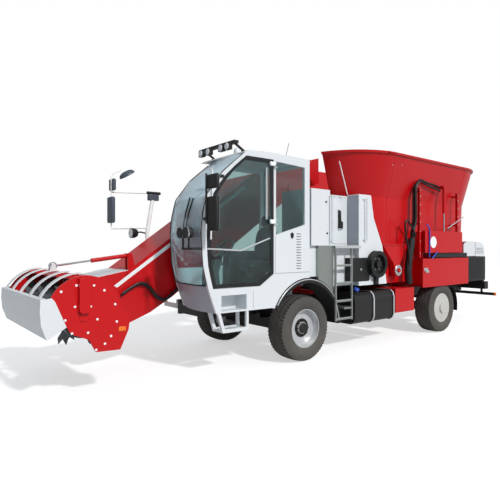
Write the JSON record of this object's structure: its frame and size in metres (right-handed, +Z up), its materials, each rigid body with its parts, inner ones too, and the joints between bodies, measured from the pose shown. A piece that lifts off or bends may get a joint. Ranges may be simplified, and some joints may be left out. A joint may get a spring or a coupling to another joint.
{
  "type": "feed mixer wagon",
  "caption": "Self-propelled feed mixer wagon: cab at the front left, toothed milling head on a lifting conveyor boom, oval tub with upright augers and a side discharge.",
  "frame": {"origin": "on the ground under the middle of the machine", "axes": "-X is the front, the milling head; -Y is the left side with the cab and the discharge; +Z is up"},
  "size_m": [10.88, 3.12, 3.6498],
  "materials": {
    "black_paint": "satin",
    "grey_paint": "satin",
    "black_plastic": "matte",
    "red_paint": "gloss",
    "white_paint": "gloss",
    "panel_grey": "satin",
    "glass": "polished",
    "seat_fabric": "matte",
    "aluminium": "satin",
    "bare_steel": "satin",
    "belt_rubber": "matte",
    "cast_iron": "matte",
    "chrome": "polished",
    "tyre": "matte",
    "silver_paint": "satin"
  },
  "bodies": {
    "chassis": {"chassis_frame": "black_paint", "axles": "black_paint", "engine_block": "grey_paint", "fenders": "black_plastic", "left_tank": "black_paint", "red_box": "red_paint", "cab_shell": "white_paint", "cab_nose": "panel_grey", "cab_roof": "white_paint", "windscreen": "glass", "cab_windows": "glass", "cab_seat": "seat_fabric", "cab_controls": "black_plastic", "cab_steps": "white_paint", "work_lamps": "black_plastic", "left_mirrors": "black_plastic", "right_mirrors": "white_paint", "cabinets": "white_paint", "side_panel": "panel_grey", "platform": "aluminium", "hose_reel": "black_plastic", "tub": "red_paint", "discharge_rails": "red_paint", "discharge_box": "red_paint", "radiator_box": "black_paint", "rear_bumper": "black_paint", "boom_stand": "red_paint"},
    "auger_front": {"auger_front": "bare_steel"},
    "auger_rear": {"auger_rear": "bare_steel"},
    "boom": {"boom_channel": "red_paint", "boom_cover": "red_paint", "boom_belt": "belt_rubber", "head_housing": "red_paint"},
    "milling_drum": {"milling_drum": "cast_iron"},
    "shield": {"shield": "white_paint"},
    "shield_barrel": {"shield_barrel": "red_paint"},
    "shield_rod": {"shield_rod": "chrome"},
    "lift_barrel": {"lift_barrel": "black_paint"},
    "lift_rod": {"lift_rod": "chrome"},
    "cab_door": {"cab_door": "black_paint", "door_glass": "glass"},
    "cabinet_door": {"cabinet_door": "white_paint"},
    "discharge_door": {"discharge_door": "red_paint", "door_rod": "chrome"},
    "rear_hood": {"rear_hood": "white_paint"},
    "knuckle_left": {"knuckle_left": "black_paint"},
    "knuckle_right": {"knuckle_right": "black_paint"},
    "wheel_front_left": {"tyre_front_left": "tyre", "rim_front_left": "silver_paint"},
    "wheel_front_right": {"tyre_front_right": "tyre", "rim_front_right": "silver_paint"},
    "wheel_rear_left": {"tyre_rear_left": "tyre", "rim_rear_left": "silver_paint"},
    "wheel_rear_right": {"tyre_rear_right": "tyre", "rim_rear_right": "silver_paint"}
  },
  "joints": [
    {"name": "steer_left", "type": "hinge", "parent": "chassis", "child": "knuckle_left", "pos_m": [-1.5, -0.85, 0.525], "axis": [0, 0, 1], "range_deg": [-35, 35]},
    {"name": "steer_right", "type": "hinge", "parent": "chassis", "child": "knuckle_right", "pos_m": [-1.5, 0.85, 0.525], "axis": [0, 0, 1], "range_deg": [-35, 35]},
    {"name": "wheel_front_left_spin", "type": "hinge", "parent": "knuckle_left", "child": "wheel_front_left", "pos_m": [-1.5, -1.055, 0.525], "axis": [0, 1, 0], "continuous": true},
    {"name": "wheel_rear_left_spin", "type": "hinge", "parent": "chassis", "child": "wheel_rear_left", "pos_m": [2.66, -1.055, 0.525], "axis": [0, 1, 0], "continuous": true},
    {"name": "wheel_front_right_spin", "type": "hinge", "parent": "knuckle_right", "child": "wheel_front_right", "pos_m": [-1.5, 1.055, 0.525], "axis": [0, 1, 0], "continuous": true},
    {"name": "wheel_rear_right_spin", "type": "hinge", "parent": "chassis", "child": "wheel_rear_right", "pos_m": [2.66, 1.055, 0.525], "axis": [0, 1, 0], "continuous": true},
    {"name": "cab_door_hinge", "type": "hinge", "parent": "chassis", "child": "cab_door", "pos_m": [-2.178, -1.244, 2.2], "axis": [0, 0, 1], "range_deg": [0, 80]},
    {"name": "cabinet_door_hinge", "type": "hinge", "parent": "chassis", "child": "cabinet_door", "pos_m": [-0.566, -0.975, 2.3], "axis": [0, 0, -1], "range_deg": [0, 95]},
    {"name": "boom_lift", "type": "hinge", "parent": "chassis", "child": "boom", "pos_m": [-0.65, 0.39, 2.96], "axis": [0, 1, 0], "range_deg": [-5, 32]},
    {"name": "lift_swing", "type": "hinge", "parent": "chassis", "child": "lift_barrel", "pos_m": [-0.70864, 0.222, 0.86082], "axis": [0, 1, 0], "range_deg": [-4, 18]},
    {"name": "lift_slide", "type": "slide", "parent": "lift_barrel", "child": "lift_rod", "axis": [-0.9018, 0, 0.4321], "range_m": [-0.17, 1.02]},
    {"name": "drum_spin", "type": "hinge", "parent": "boom", "child": "milling_drum", "pos_m": [-4.95, 0, 1.01], "axis": [0, 1, 0], "continuous": true},
    {"name": "shield_open", "type": "hinge", "parent": "boom", "child": "shield", "pos_m": [-4.95, 0, 1.01], "axis": [0, 1, 0], "range_deg": [0, 35]},
    {"name": "shield_swing", "type": "hinge", "parent": "boom", "child": "shield_barrel", "pos_m": [-3.93, 0.06, 1.7], "axis": [0, 1, 0], "range_deg": [-7.67, 1]},
    {"name": "shield_slide", "type": "slide", "parent": "shield_barrel", "child": "shield_rod", "axis": [-0.9924, 0, -0.1227], "range_m": [-0.3242, 0.01]},
    {"name": "auger_front_spin", "type": "hinge", "parent": "chassis", "child": "auger_front", "pos_m": [0.97, 0, 1.2], "axis": [0, 0, 1], "continuous": true},
    {"name": "auger_rear_spin", "type": "hinge", "parent": "chassis", "child": "auger_rear", "pos_m": [3.7, 0, 1.2], "axis": [0, 0, 1], "continuous": true},
    {"name": "discharge_door_slide", "type": "slide", "parent": "chassis", "child": "discharge_door", "axis": [0, 0, 1], "range_m": [0, 0.38]},
    {"name": "rear_hood_hinge", "type": "hinge", "parent": "chassis", "child": "rear_hood", "pos_m": [4.7, 0, 1.975], "axis": [0, -1, 0], "range_deg": [0, 60]}
  ],
  "couplings": [
    {"joint": "steer_right", "follows": "steer_left", "ratio": 1},
    {"joint": "lift_swing", "follows": "boom_lift", "ratio": 0.5},
    {"joint": "lift_slide", "follows": "boom_lift", "m_per_rad": 1.7751},
    {"joint": "shield_swing", "follows": "shield_open", "ratio": -0.1905},
    {"joint": "shield_slide", "follows": "shield_open", "m_per_rad": -0.5144}
  ]
}
